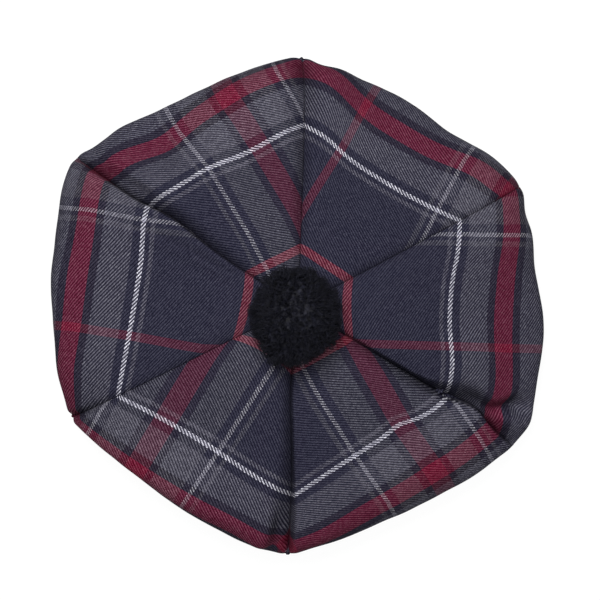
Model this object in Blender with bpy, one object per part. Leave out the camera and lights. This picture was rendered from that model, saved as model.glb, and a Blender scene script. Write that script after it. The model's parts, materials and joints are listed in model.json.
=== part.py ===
"""Tam o' shanter: six cloth gores sewn to a headband, with a wool pompom on top.

Metres, +Z up. The cap stands on its headband on the plane Z = 0, and the origin lies
there, under the middle of the crown. The tables below are in millimetres.

Each gore is one piece of cloth. It runs from the middle of the crown out over the
rounded rim and back underneath to the headband. Between two seams it puffs up, so the
seams lie in valleys.
"""

import math
import random
from collections import namedtuple

import bmesh
import bpy
from mathutils import Vector
from mathutils.bvhtree import BVHTree

MM = 0.001
MERGE_DISTANCE = 0.01

# Driving sizes, in millimetres.
CLOTH_THICKNESS = 1.5
SEAM_GAP = 0.3
TIP_RADIUS, TIP_HEIGHT = 4.5, 52.0

BAND_HEIGHT = 30.0
BAND_INNER_RADIUS = 91.5
BAND_THICKNESS = 2.5
BAND_EDGE_BEVEL = 0.4
BAND_SEGMENTS = 60

HEM_HEIGHT = BAND_HEIGHT + 0.3
HEM_RADIUS = BAND_INNER_RADIUS + 0.3
NECK_RADIUS = 97.0

POMPOM_CENTRE = Vector((-1.4, -6.5, 75.0))
POMPOM_RADII = Vector((24.5, 26.0, 21.0))
POMPOM_LOCK_LENGTH, POMPOM_LOCK_LEAN = 2.4, 1.3
POMPOM_REST_GAP = 1.2
TIE_NECK_RADIUS, TIE_SEGMENTS = 3.0, 12
KNOT_RADIUS, KNOT_HEIGHT, KNOT_BEVEL, KNOT_GAP = 7.0, 3.0, 1.0, 0.8

# How much more squarely a gore rises beside a seam than it swells out from the axis.
VALLEY_STEEPNESS = 1.8

# A gore's levels, from its tip to its hem, and the mesh rows between each two of them.
LEVELS = ("tip", "inner", "white", "red", "rim", "belly", "neck", "hem")
ROWS = (3, 5, 3, 4, 3, 4, 1)
# Where its columns of points lie: -1 is its first seam, 1 its second one.
COLUMNS = (-1.0, -0.94, -0.84, -0.68, -0.46, -0.23, 0.0, 0.23, 0.46, 0.68, 0.84, 0.94, 1.0)

# One row for each seam and each gore's middle line, in the order that they go round.
# Angles are in degrees from +X. bend is how far the line swings between the white
# stripe and the rim. The pairs are the radius and the height of the cloth at the inner
# red stripe, the white stripe, the wide red stripe, the rim and the lowest point
# underneath. fullness says how squarely the cloth puffs up beside a seam.
Line = namedtuple("Line", "angle bend inner white red rim belly fullness")
SEAMS = {
    "front_right": Line(-31.1, 4.5, (36.4, 54), (100.1, 40), (131.4, 27), (146.5, 20), (133, 13), 2.6),
    "back_right": Line(28.0, 0.5, (34.3, 54), (104.2, 42), (137.5, 31), (143.3, 22), (130, 13), 2.6),
    "back": Line(88.2, 1.3, (34.6, 54), (104.2, 42), (137.5, 31), (141.0, 22), (128, 13), 3.5),
    "back_left": Line(146.7, 0.0, (33.4, 54), (103.6, 43), (138.0, 34), (151.6, 23), (136, 13), 5.0),
    "front_left": Line(206.4, -1.0, (38.7, 54), (114.9, 46), (140.5, 30), (144.3, 22), (131, 13), 2.6),
    "front": Line(267.8, -0.4, (36.0, 54), (109.0, 45), (139.0, 31), (141.0, 22), (128, 13), 2.6),
}
MIDDLES = {
    "right": Line(-1.5, 0, (29.9, 57), (86.0, 51), (117.0, 38), (139.7, 22), (125, 12), 2.6),
    "back_right": Line(58.1, 0, (30.2, 57), (85.9, 50), (115.9, 38), (132.0, 24), (119, 13), 2.6),
    "back_left": Line(117.5, 0, (30.2, 57), (91.9, 52), (121.8, 38), (135.7, 24), (121, 13), 2.6),
    "left": Line(176.5, 0, (30.0, 57), (92.7, 54), (127.0, 44), (140.5, 27), (126, 13), 2.6),
    "front_left": Line(237.0, 0, (30.0, 57), (93.9, 55), (129.7, 48), (133.1, 37), (121, 16), 2.6),
    "front_right": Line(298.3, 0, (30.0, 57), (88.9, 53), (121.5, 43), (132.0, 29), (119, 14), 2.6),
}
# Each gore lies between two seams, named here anticlockwise.
GORES = {
    "right": ("front_right", "back_right"),
    "back_right": ("back_right", "back"),
    "back_left": ("back", "back_left"),
    "left": ("back_left", "front_left"),
    "front_left": ("front_left", "front"),
    "front_right": ("front", "front_right"),
}

# The waves and dents of each gore: where they are across it and along its levels (0 is
# the tip, 1 the inner stripe, and so on), how far they spread each way, and how far they
# push the cloth out from the axis and up.
Dent = namedtuple("Dent", "gore across level half_width half_length out up")
DENTS = (
    Dent("right", -0.68, 2.6, 0.35, 0.9, 6.5, 0.0),
    Dent("right", 0.78, 2.6, 0.30, 0.9, 5.5, 0.0),
    Dent("right", -0.58, 4.0, 0.35, 0.6, -3.2, 0.0),
    Dent("right", 0.48, 4.0, 0.40, 0.6, -4.0, 0.0),
    Dent("back_right", -0.72, 3.0, 0.33, 0.6, 9.5, 2.0),
    Dent("back_right", 0.80, 2.8, 0.28, 0.9, 13.0, 2.0),
    Dent("back_right", -0.35, 4.0, 0.30, 0.5, -2.5, 0.0),
    Dent("back_right", 0.70, 4.0, 0.30, 0.5, -4.0, 0.0),
    Dent("back_left", -0.40, 2.0, 0.35, 0.5, -1.4, 0.0),
    Dent("back_left", -0.62, 3.0, 0.48, 0.6, 6.0, 2.0),
    Dent("back_left", 0.42, 3.0, 0.26, 0.7, -5.2, -4.0),
    Dent("left", -0.80, 2.0, 0.25, 0.5, 5.0, 0.0),
    Dent("left", -0.68, 3.2, 0.38, 0.8, -5.5, -1.0),
    Dent("left", 0.74, 3.0, 0.33, 0.7, 7.5, 2.0),
    Dent("left", 0.55, 4.0, 0.30, 0.5, -2.2, 0.0),
    Dent("front_left", 0.60, 2.0, 0.40, 0.6, 2.4, 0.0),
    Dent("front_left", 0.50, 3.0, 0.35, 0.6, -2.2, 0.0),
    Dent("front_left", -0.60, 3.8, 0.35, 0.7, -2.4, 0.0),
    Dent("front_right", 0.35, 2.0, 0.15, 0.5, -1.8, 0.0),
    Dent("front_right", 0.75, 2.0, 0.25, 0.5, 3.5, 0.0),
    Dent("front_right", -0.85, 3.0, 0.25, 0.5, 3.5, 0.0),
    Dent("front_right", -0.50, 4.0, 0.35, 0.6, -3.4, 0.0),
    Dent("front_right", 0.75, 4.0, 0.30, 0.6, 6.0, 0.0),
)

TARTAN_NAVY = (0.030, 0.028, 0.050)
BAND_NAVY = (0.024, 0.024, 0.042)
WOOL_BLACK = (0.010, 0.010, 0.014)


def polar(radius, angle, height):
    """A point, from its distance to the axis and its angle in degrees."""
    turn = math.radians(angle)
    return Vector((radius * math.cos(turn), radius * math.sin(turn), height))


def curve_through(points, counts):
    """A smooth centripetal curve through the points, with counts[i] steps in span i."""
    knots = [points[0] * 2 - points[1], *points, points[-1] * 2 - points[-2]]
    found = []
    for span, count in enumerate(counts):
        before, start, end, after = knots[span : span + 4]
        t0 = 0.0
        t1 = t0 + math.sqrt((start - before).length)
        t2 = t1 + math.sqrt((end - start).length)
        t3 = t2 + math.sqrt((after - end).length)
        for step in range(count):
            t = t1 + (t2 - t1) * step / count
            a1 = before.lerp(start, t / t1)
            a2 = start.lerp(end, (t - t1) / (t2 - t1))
            a3 = end.lerp(after, (t - t2) / (t3 - t2))
            b1 = a1.lerp(a2, t / t2)
            b2 = a2.lerp(a3, (t - t1) / (t3 - t1))
            found.append(b1.lerp(b2, (t - t1) / (t2 - t1)))
    found.append(points[-1].copy())
    return found


def line_points(line):
    """The points of a seam or a middle line, row by row from the tip to the hem."""
    rim_angle = line.angle + line.bend
    return curve_through(
        [
            polar(TIP_RADIUS, line.angle, TIP_HEIGHT),
            polar(line.inner[0], line.angle, line.inner[1]),
            polar(line.white[0], line.angle, line.white[1]),
            polar(line.red[0], line.angle + line.bend / 2, line.red[1]),
            polar(line.rim[0], rim_angle, line.rim[1]),
            polar(line.belly[0], rim_angle, line.belly[1]),
            polar(NECK_RADIUS, line.angle, HEM_HEIGHT),
            polar(HEM_RADIUS, line.angle, HEM_HEIGHT),
        ],
        ROWS,
    )


def row_levels():
    """The level of each row: 2.5 is halfway from the white stripe to the wide red one."""
    found = [
        level + step / count for level, count in enumerate(ROWS) for step in range(count)
    ]
    return [*found, float(len(ROWS))]


def smooth_step(value, low, high):
    """0 below low, 1 above high, and a smooth rise between them."""
    share = min(max((value - low) / (high - low), 0.0), 1.0)
    return share * share * (3 - 2 * share)


def about_axis(point):
    """A point's distance to the axis and its angle."""
    return math.hypot(point.x, point.y), math.atan2(point.y, point.x)


def across(first, middle, second, at, fullness, level):
    """The point at `at` between two seam points. The top is a chord with the gore's puff
    on it, and below the rim it turns into an arc about the axis, as the band needs."""
    share = (at + 1) / 2
    puff = 1 - abs(at) ** fullness
    lift = 1 - abs(at) ** (fullness + VALLEY_STEEPNESS)
    chord = first.lerp(second, share)
    swell = middle - (first + second) / 2
    flat = chord + Vector((swell.x * puff, swell.y * puff, swell.z * lift))
    (r1, angle_1), (r2, angle_2), (r_middle, _) = map(about_axis, (first, second, middle))
    radius = r1 + (r2 - r1) * share + (r_middle - (r1 + r2) / 2) * puff
    angle = angle_1 + (angle_2 - angle_1) % math.tau * share
    round_point = Vector((radius * math.cos(angle), radius * math.sin(angle), flat.z))
    roundness = smooth_step(level, LEVELS.index("rim"), LEVELS.index("neck"))
    return flat.lerp(round_point, roundness)


def dented(point, gore, at, level):
    """The point, moved by the waves and dents of its gore. The seams stay in place."""
    _, angle = about_axis(point)
    outward = Vector((math.cos(angle), math.sin(angle), 0))
    moved = point.copy()
    for dent in DENTS:
        if dent.gore == gore:
            reach = ((at - dent.across) / dent.half_width) ** 2
            reach += ((level - dent.level) / dent.half_length) ** 2
            strength = math.exp(-reach) * (1 - at * at)
            moved += (outward * dent.out + Vector((0, 0, dent.up))) * strength
    return moved


def gore_grid(gore):
    """The outer face of a gore, as rows of points in millimetres."""
    first, second = (SEAMS[name] for name in GORES[gore])
    lines = [line_points(line) for line in (first, MIDDLES[gore], second)]
    grid = []
    for level, (start, middle, end) in zip(row_levels(), zip(*lines)):
        row = []
        for at in COLUMNS:
            fullness = first.fullness if at < 0 else second.fullness
            point = across(start, middle, end, at, fullness, level)
            row.append(dented(point, gore, at, level))
        grid.append(row)
    return grid


def wall_of(grid):
    """The outer and the inner face of the cloth. At a seam both are moved off it by half
    the gap, along the circle about the axis, so two gores stay parallel there."""
    last_row, last_column = len(grid) - 1, len(grid[0]) - 1
    outer, inner = [], []
    for i, row in enumerate(grid):
        outer_row, inner_row = [], []
        for j, point in enumerate(row):
            down = grid[min(i + 1, last_row)][j] - grid[max(i - 1, 0)][j]
            if j in (0, last_column):
                along = Vector((-point.y, point.x, 0)).normalized()
                clear = along * (SEAM_GAP / 2 if j == 0 else -SEAM_GAP / 2)
            else:
                along = row[j + 1] - row[j - 1]
                clear = Vector()
            normal = down.cross(along).normalized()
            outer_row.append(point + clear)
            inner_row.append(point + clear - normal * CLOTH_THICKNESS)
        outer.append(outer_row)
        inner.append(inner_row)
    return outer, inner


def add_object(name, bm, material):
    """An object from a closed bmesh, smooth but for its sharp edges."""
    mesh = bpy.data.meshes.new(name)
    bmesh.ops.recalc_face_normals(bm, faces=bm.faces)
    bm.to_mesh(mesh)
    bm.free()
    mesh.shade_smooth()
    mesh.set_sharp_from_angle(angle=math.radians(40))
    mesh.materials.append(material)
    obj = bpy.data.objects.new(name, mesh)
    bpy.context.scene.collection.objects.link(obj)
    return obj


def add_material(name, colour, roughness):
    material = bpy.data.materials.new(name)
    material.use_nodes = True
    shader = material.node_tree.nodes["Principled BSDF"]
    shader.inputs["Base Color"].default_value = (*colour, 1)
    shader.inputs["Roughness"].default_value = roughness
    shader.inputs["Metallic"].default_value = 0
    material.diffuse_color = (*colour, 1)
    return material


def turned(outline, segments):
    """A bmesh of the outline, given as radii and heights, turned about the axis."""
    bm = bmesh.new()
    verts = [bm.verts.new((radius * MM, 0, height * MM)) for radius, height in outline]
    edges = [bm.edges.new(pair) for pair in zip(verts, verts[1:])]
    bmesh.ops.spin(
        bm,
        geom=verts + edges,
        cent=(0, 0, 0),
        axis=(0, 0, 1),
        angle=math.tau,
        steps=segments,
        use_merge=True,
    )
    return bm


def add_gore(gore, material):
    """One gore as a closed wall of cloth."""
    bm = bmesh.new()
    outer, inner = [
        [[bm.verts.new(point * MM) for point in row] for row in side]
        for side in wall_of(gore_grid(gore))
    ]
    for side in (outer, inner):
        for row, below in zip(side, side[1:]):
            for j in range(len(row) - 1):
                bm.faces.new((row[j], below[j], below[j + 1], row[j + 1]))
    for j in (0, -1):
        for i in range(len(outer) - 1):
            bm.faces.new((outer[i][j], outer[i + 1][j], inner[i + 1][j], inner[i][j]))
    for i in (0, -1):
        for j in range(len(outer[0]) - 1):
            bm.faces.new((outer[i][j], outer[i][j + 1], inner[i][j + 1], inner[i][j]))
    return add_object(f"gore_{gore}", bm, material)


def add_headband(material):
    """The band, a ring turned from a rectangle with blunted edges."""
    inside = BAND_INNER_RADIUS
    outside = BAND_INNER_RADIUS + BAND_THICKNESS
    blunt = BAND_EDGE_BEVEL
    outline = (
        (inside + blunt, 0),
        (outside - blunt, 0),
        (outside, blunt),
        (outside, BAND_HEIGHT - blunt),
        (outside - blunt, BAND_HEIGHT),
        (inside + blunt, BAND_HEIGHT),
        (inside, BAND_HEIGHT - blunt),
        (inside, blunt),
        (inside + blunt, 0),
    )
    bm = turned(outline, BAND_SEGMENTS)
    bmesh.ops.remove_doubles(bm, verts=bm.verts, dist=MERGE_DISTANCE * MM)
    return add_object("headband", bm, material)


def grow_locks(bm, rng):
    """Every point of the ball becomes the tip of a lock, and the cuts between the tips
    become the roots."""
    tip_count = len(bm.verts)
    bmesh.ops.subdivide_edges(bm, edges=bm.edges, cuts=1, use_grid_fill=True)
    bm.normal_update()
    bm.verts.ensure_lookup_table()
    for root in bm.verts[tip_count:]:
        root.co -= root.normal * POMPOM_LOCK_LENGTH * MM
    for tip in bm.verts[:tip_count]:
        lean = Vector([rng.uniform(-1, 1) for _ in range(3)]) * POMPOM_LOCK_LEAN
        tip.co += lean * MM


def settle_on(bm, crown):
    """Lifts what would sink into the crown."""
    for vert in bm.verts:
        above = Vector((vert.co.x, vert.co.y, 2 * POMPOM_CENTRE.z * MM))
        hit = crown.ray_cast(above, Vector((0, 0, -1)))[0]
        if hit and vert.co.z < hit.z + POMPOM_REST_GAP * MM:
            vert.co.z = hit.z + POMPOM_REST_GAP * MM


def crown_tree(gores):
    """All gores as one tree, to find the crown's height at a place."""
    points, faces = [], []
    for gore in gores:
        start = len(points)
        points += [vert.co for vert in gore.data.vertices]
        faces += [[start + i for i in face.vertices] for face in gore.data.polygons]
    return BVHTree.FromPolygons(points, faces)


def add_tie(material):
    """The pompom's tie: a neck through the crown's middle, and the knot below it."""
    knot_top = TIP_HEIGHT - CLOTH_THICKNESS - KNOT_GAP
    outline = (
        (TIE_NECK_RADIUS, POMPOM_CENTRE.z),
        (TIE_NECK_RADIUS, knot_top),
        (KNOT_RADIUS - KNOT_BEVEL, knot_top),
        (KNOT_RADIUS, knot_top - KNOT_HEIGHT / 2),
        (KNOT_RADIUS - KNOT_BEVEL, knot_top - KNOT_HEIGHT),
    )
    bm = turned(outline, TIE_SEGMENTS)
    bmesh.ops.holes_fill(bm, edges=bm.edges)
    tie = add_object("pompom_tie", bm, material)
    tie.hide_render = True
    tie.display_type = "WIRE"
    return tie


def add_pompom(gores, material):
    """A ball of wool locks, settled on the crown and tied through its middle."""
    bm = bmesh.new()
    bmesh.ops.create_icosphere(bm, subdivisions=3, radius=1)
    bmesh.ops.scale(bm, vec=POMPOM_RADII * MM, verts=bm.verts)
    grow_locks(bm, random.Random(5))
    bmesh.ops.translate(bm, vec=POMPOM_CENTRE * MM, verts=bm.verts)
    settle_on(bm, crown_tree(gores))
    pompom = add_object("pompom", bm, material)
    union = pompom.modifiers.new("tie", "BOOLEAN")
    union.operation = "UNION"
    union.object = add_tie(material)
    return pompom


def main():
    for obj in list(bpy.data.objects):
        bpy.data.objects.remove(obj)
    cloth = add_material("tartan_cloth", TARTAN_NAVY, 0.9)
    gores = [add_gore(gore, cloth) for gore in GORES]
    add_headband(add_material("band_cloth", BAND_NAVY, 0.9))
    add_pompom(gores, add_material("black_wool", WOOL_BLACK, 1.0))


main()
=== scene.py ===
"""Tam o' shanter: the looks of the cap, made round its fixed frame.

Six gores of tartan cloth are sewn to a folded headband, and a black wool pompom is tied
on top. The crown is worked out from seams and middle lines as the solid model's is, so
each gore lies over its solid, and the cloth's valleys, laps, creases and dents are added
here. Tables are in millimetres, and everything else is in metres.
"""

import json
import math
from collections import namedtuple
from itertools import pairwise

import bpy
import numpy as np
from bpy.props import FloatProperty, FloatVectorProperty, IntProperty, PointerProperty
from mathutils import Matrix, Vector, noise

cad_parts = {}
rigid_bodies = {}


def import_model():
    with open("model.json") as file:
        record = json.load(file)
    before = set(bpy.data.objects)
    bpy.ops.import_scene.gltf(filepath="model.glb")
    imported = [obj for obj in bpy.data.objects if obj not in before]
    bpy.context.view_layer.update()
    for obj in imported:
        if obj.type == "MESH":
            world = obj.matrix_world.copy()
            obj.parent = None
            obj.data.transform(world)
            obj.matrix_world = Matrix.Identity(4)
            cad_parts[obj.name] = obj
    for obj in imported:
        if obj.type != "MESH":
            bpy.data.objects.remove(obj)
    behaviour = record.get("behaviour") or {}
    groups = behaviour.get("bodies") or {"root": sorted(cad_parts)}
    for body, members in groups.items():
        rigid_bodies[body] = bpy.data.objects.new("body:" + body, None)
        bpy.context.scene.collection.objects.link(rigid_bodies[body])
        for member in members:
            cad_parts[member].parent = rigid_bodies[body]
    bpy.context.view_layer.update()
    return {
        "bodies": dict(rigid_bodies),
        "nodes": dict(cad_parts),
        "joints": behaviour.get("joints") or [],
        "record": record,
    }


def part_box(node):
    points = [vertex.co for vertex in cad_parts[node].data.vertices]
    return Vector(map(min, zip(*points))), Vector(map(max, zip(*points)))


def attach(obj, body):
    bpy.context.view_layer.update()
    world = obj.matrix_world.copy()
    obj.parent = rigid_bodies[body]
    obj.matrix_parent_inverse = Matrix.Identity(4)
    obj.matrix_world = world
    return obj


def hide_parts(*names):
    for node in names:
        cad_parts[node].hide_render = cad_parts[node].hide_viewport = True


bl_info = {
    "name": "Tam o' shanter",
    "version": (1, 0, 0),
    "blender": (4, 5, 0),
    "location": "3D View > Sidebar > Tam o' shanter",
    "description": "Makes a tartan tam o' shanter with a wool pompom on its frame",
    "category": "Add Mesh",
}

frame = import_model()
BAND_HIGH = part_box("headband")[1]

MM = 0.001
UP = np.array((0.0, 0.0, 1.0))

# Radius and height of the crown's tip, of its neck, where it meets the headband, and of
# its hem, in millimetres.
TIP, NECK, HEM = (4.5, 52.0), (97.0, 30.3), (91.8, 30.3)

# How much more squarely a gore rises beside a seam than it swells out from the axis.
VALLEY_STEEPNESS = 1.0

# A gore's levels, from its tip to its hem, and the mesh rows between each two of them.
LEVELS = ("tip", "inner", "white", "red", "rim", "belly", "neck", "hem")
SPAN_ROWS = (18, 42, 24, 18, 14, 24, 1)

# How much of its bend a line has at each level.
LEVEL_BENDS = (0, 0, 0, 0.5, 1, 1, 0, 0)

# A gore's columns of faces, and how much they crowd towards its seams. Beside them come
# the columns where it turns down into a seam, and those of its seam allowance.
MAIN_COLUMNS, CROWDING = 90, 0.3
ROLL_STEPS, ALLOWANCE_STEPS = 5, 3

# At a seam: the gap that is left between two gores, how far their allowances lean to one
# side, and their least depth.
SEAM_GAP, LEAN, LEAST_ALLOWANCE = 0.03 * MM, 1.2 * MM, 0.6 * MM

# An allowance's depth, as a share of the full one: it grows from nothing between the
# first two distances from the axis, to this share, and to all of it between the last two.
TIP_REACH, OUTER_REACH, INNER_SHARE = (6.0, 16.0), (98.0, 112.0), 0.4

# The crown's turned-up lower edge: its rows, how clear it stays of the headband, and how
# high it turns up before the allowance goes on.
HEM_STEPS, HEM_CLEARANCE, HEM_RISE = 5, 0.12 * MM, 2.2 * MM

# Where along the levels something holds: it grows to its full strength between the first
# two levels, and fades to nothing between the last two.
Zone = namedtuple("Zone", "start end")
DRAWN_STRAIGHT_DOWN = Zone((2.0, 3.5), (4.2, 4.8))
CORNER_ROUNDED = Zone((2.5, 3.1), (4.4, 5.0))
WITHOUT_ALLOWANCE = Zone((2.4, 2.9), (5.2, 5.8))

# The levels between which a valley passes from its inner widths to its outer ones.
VALLEY_WIDENS = (1.6, 2.3)

# How many levels a crease takes to fade out past each end.
CREASE_FADE = 0.35

# The waves of worn cloth: how long, how strong and where in the noise. Near the tip they
# have only a share of their strength, and between the two levels it grows by one.
WAVES = ((34.0 * MM, 1.6, 0), (13.0 * MM, 0.45, 3))
TIP_WAVES, WAVES_GROW = 0.35, (1.5, 3.5)

# One row for each seam and each gore's middle line, in the order that they go round.
# Angles are in degrees from +X. bend is how far the line swings between the white
# stripe and the rim. The pairs are the radius and the height of the cloth at the inner
# red stripe, the white stripe, the wide red stripe, the rim and the lowest point
# underneath. fullness says how squarely the cloth puffs up beside a seam.
Line = namedtuple("Line", "angle bend inner white red rim belly fullness", defaults=(None,))
SEAMS = {
    "front_right": Line(-31.5, -1.5, (33.9, 54), (100.1, 44), (131.4, 34), (145.7, 21), (133, 9), 2.6),
    "back_right": Line(28, 0.5, (32.2, 54), (104.2, 46), (137.5, 33), (143.9, 22), (130, 13), 2.6),
    "back": Line(88.2, 1.3, (32.9, 54), (104.2, 45), (139, 34), (142, 22), (128, 11), 3.5),
    "back_left": Line(146.7, -0.6, (33.4, 54), (103.6, 46), (138, 36), (153.2, 21), (136, 11), 5),
    "front_left": Line(206.4, -1, (38.7, 54), (114.9, 49), (145, 21), (141.5, 15), (131, 12), 2.6),
    "front": Line(267.8, -0.4, (36, 54), (109, 46), (139, 35), (141.6, 24), (128, 10), 2.6),
}
MIDDLES = {
    "right": Line(-1.5, 0, (27.6, 57), (86, 51), (117, 38), (141.4, 22), (125, 12)),
    "back_right": Line(58.1, 0, (28.8, 57), (85.9, 50), (114.8, 38), (132.9, 24), (119, 13)),
    "back_left": Line(117.5, 0, (29, 57), (91.9, 52), (121.8, 38), (135.4, 24), (121, 13)),
    "left": Line(176.5, 0, (30, 57), (92.7, 54), (127, 44), (139.2, 27), (126, 13)),
    "front_left": Line(237, 0, (30, 57), (93.9, 55), (129.7, 48), (132.9, 37), (121, 16)),
    "front_right": Line(298.3, 0, (30, 57), (88.9, 53), (121.5, 43), (132, 29), (119, 14)),
}

# The valley along each seam: how wide its two sides are, in the gore before the seam and
# in the one after it, going anticlockwise, each near the crown's middle and near the rim.
# The next four columns say how far the stitches draw the seam into the cap, and the last
# one how far the rim's corner is rounded off at the seam.
Valley = namedtuple("Valley", "before after inner white red rim corner")
VALLEYS = {
    "front_right": Valley((9, 2), (3, 15), 3, 16, 18, 5, 0.3),
    "back_right": Valley((6, 6), (6, 6), 1, 1.5, 3, 2, 0.8),
    "back": Valley((8, 15), (8, 18), 0.8, 5, 15, 3, 1.3),
    "back_left": Valley((11, 13), (2, 1.6), 2, 10, 16, 5, 1.3),
    "front_left": Valley((6, 6), (4, 5), 0.3, 1.5, 6, 2, 1.8),
    "front": Valley((10, 16), (2.5, 4.5), 2.5, 10, 17, 4, 1.4),
}

# Where the puffed edge of a gore laps over its seam, so that the seam swings aside: the
# level, how far along it reaches, and how far it swings anticlockwise, in millimetres.
Swing = namedtuple("Swing", "seam level half_length aside")
SWINGS = (
    Swing("front_right", 2.5, 0.4, 4.5),
    Swing("back_left", 1.75, 0.3, -3),
    Swing("front", 1.15, 0.45, -2.8),
)

# The two seams that each gore lies between, anticlockwise.
GORES = dict(zip(MIDDLES, pairwise([*SEAMS, next(iter(SEAMS))])))

# The stripes that run down the gores. The gores are cut a little off the grain and eased
# in the sewing, so for the place of each stripe in the sett there are three numbers: how
# far it is from its gore's middle line, at three distances down the cloth.
GRAIN_LEVELS = (50, 93, 126)
GRAIN = {
    "right": {0: (-20.4, -20.4, -20.6), 62.85: (43.6, 43.8, 43.8)},
    "back_right": {-62.85: (-42.5, -38, -36.4), 0: (27.4, 26.6, 28)},
    "back_left": {
        62.85: (-57, -54.4, -51.4),
        95.8: (-25.6, -23, -20),
        128.75: (6.6, 9.4, 15.4),
    },
    "left": {-62.85: (-42.6, -44.4, -48), 0: (27.8, 22.6, 19.4)},
    "front_left": {
        62.85: (-66, -64, -64),
        95.8: (-30.4, -28.4, -27.6),
        128.75: (7, 7, 6.6),
    },
    "front_right": {
        62.85: (-14.5, -12, -8.2),
        95.8: (19, 20, 24),
        128.75: (52, 54, 56.4),
    },
}

# The waves and dents of each gore: where they are across it and along its levels (0 is
# the tip, 1 the inner stripe, and so on), how far they spread each way, and how far they
# push the cloth out from the axis and up.
Dent = namedtuple("Dent", "across level half_width half_length out up", defaults=(0.0,))
DENTS = {
    "right": (
        Dent(-0.68, 2.6, 0.35, 0.9, 6.5),
        Dent(0.78, 2.6, 0.3, 0.9, 5.5),
        Dent(-0.85, 4, 0.15, 0.6, 9.5),
        Dent(-0.58, 4, 0.35, 0.6, -2.5),
        Dent(0.48, 4, 0.4, 0.6, -8),
        Dent(0.85, 4, 0.15, 0.6, -11),
    ),
    "back_right": (
        Dent(-0.72, 3, 0.33, 0.6, 9.5, 2),
        Dent(0.8, 2.8, 0.28, 0.9, 13, 2),
        Dent(-0.35, 4, 0.3, 0.5, -3.5),
        Dent(0.7, 4, 0.3, 0.5, -4.5),
        Dent(0.88, 4, 0.12, 0.6, -12),
    ),
    "back_left": (
        Dent(-0.4, 2, 0.35, 0.5, -1.4),
        Dent(0.3, 2, 0.35, 0.5, 2.2),
        Dent(-0.62, 3, 0.48, 0.6, 6, 2),
        Dent(0.42, 3, 0.26, 0.7, -5.2, -4),
        Dent(0.85, 4, 0.15, 0.6, -6.5),
    ),
    "left": (
        Dent(-0.8, 2, 0.25, 0.5, 5),
        Dent(-0.68, 3.2, 0.38, 0.8, -1, -1),
        Dent(0, 3.5, 0.5, 0.4, 3.5, 3),
        Dent(0.74, 3.1, 0.33, 0.7, 6.5, 4),
        Dent(-0.7, 4, 0.25, 0.6, -1.5),
        Dent(0.55, 4, 0.3, 0.5, -1.5),
        Dent(0.85, 4, 0.15, 0.6, -5),
    ),
    "front_left": (
        Dent(0.6, 2, 0.4, 0.6, 2.4),
        Dent(0.5, 3, 0.35, 0.6, -2.2),
        Dent(0.82, 3.3, 0.15, 0.4, 4.5),
        Dent(-0.6, 3.8, 0.35, 0.7, -2),
        Dent(-0.85, 4, 0.15, 0.6, -3),
    ),
    "front_right": (
        Dent(0.35, 2, 0.15, 0.5, -1.8),
        Dent(0.75, 2, 0.25, 0.5, 3.5),
        Dent(-0.85, 3, 0.25, 0.5, 3.5),
        Dent(-0.85, 4, 0.15, 0.6, -2),
        Dent(-0.5, 4, 0.35, 0.6, -0.5),
        Dent(0.88, 4, 0.12, 0.6, -1.5),
    ),
}

# Creases that the sewing leaves beside the seams: where each starts and ends, as a place
# across its gore and a level, and its width and depth in millimetres.
Crease = namedtuple("Crease", "gore start start_level end end_level width depth")
CREASES = (
    Crease("right", -0.95, 2.65, -0.74, 3.4, 5.5, 10),
    Crease("front_left", 0.92, 2.7, 0.9, 3.4, 5, 8),
    Crease("left", -0.68, 1.4, -0.66, 2.2, 7, 5),
    Crease("back_left", 0.9, 2.4, 0.92, 3.7, 5, 5),
)

# Half of the tartan's sett, from the middle of the narrow red stripe to the middle of the
# wide red one, where it turns round: where each stripe ends, in millimetres, and the
# threads that it has in the weft, which runs round the crown, and in the warp.
Stripe = namedtuple("Stripe", "end weft warp")
SETT = (
    Stripe(2.4, "scarlet", "rust"),
    Stripe(56.4, "navy", "navy"),
    Stripe(59.1, "grey", "ash"),
    Stripe(61.5, "navy", "navy"),
    Stripe(64.2, "white", "silver"),
    Stripe(68.5, "navy", "navy"),
    Stripe(85.2, "grey", "ash"),
    Stripe(89.6, "dark", "dark"),
    Stripe(95.8, "red", "rust"),
)
HALF_SETT = SETT[-1].end * MM

# How far from the crown's middle the cloth's stripes lie along a gore: the narrow red one
# at the level "inner", the white one at "white" and the wide red one at "red".
STRIPE_ALONG = {"inner": 30.2, "white": 93.0, "red": 126.0}


def setting(kind, **fixed):
    """Returns a function that makes settings of one kind."""

    def made(name, description, default, **more):
        return kind(name=name, description=description, default=default, **fixed, **more)

    return made


dye = setting(FloatVectorProperty, size=3, subtype="COLOR")
length = setting(FloatProperty, precision=5, unit="LENGTH")
flat_place = setting(FloatVectorProperty, size=2, unit="LENGTH")
portion = setting(FloatProperty, subtype="FACTOR")
amount = setting(FloatProperty)
number = setting(IntProperty)


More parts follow.
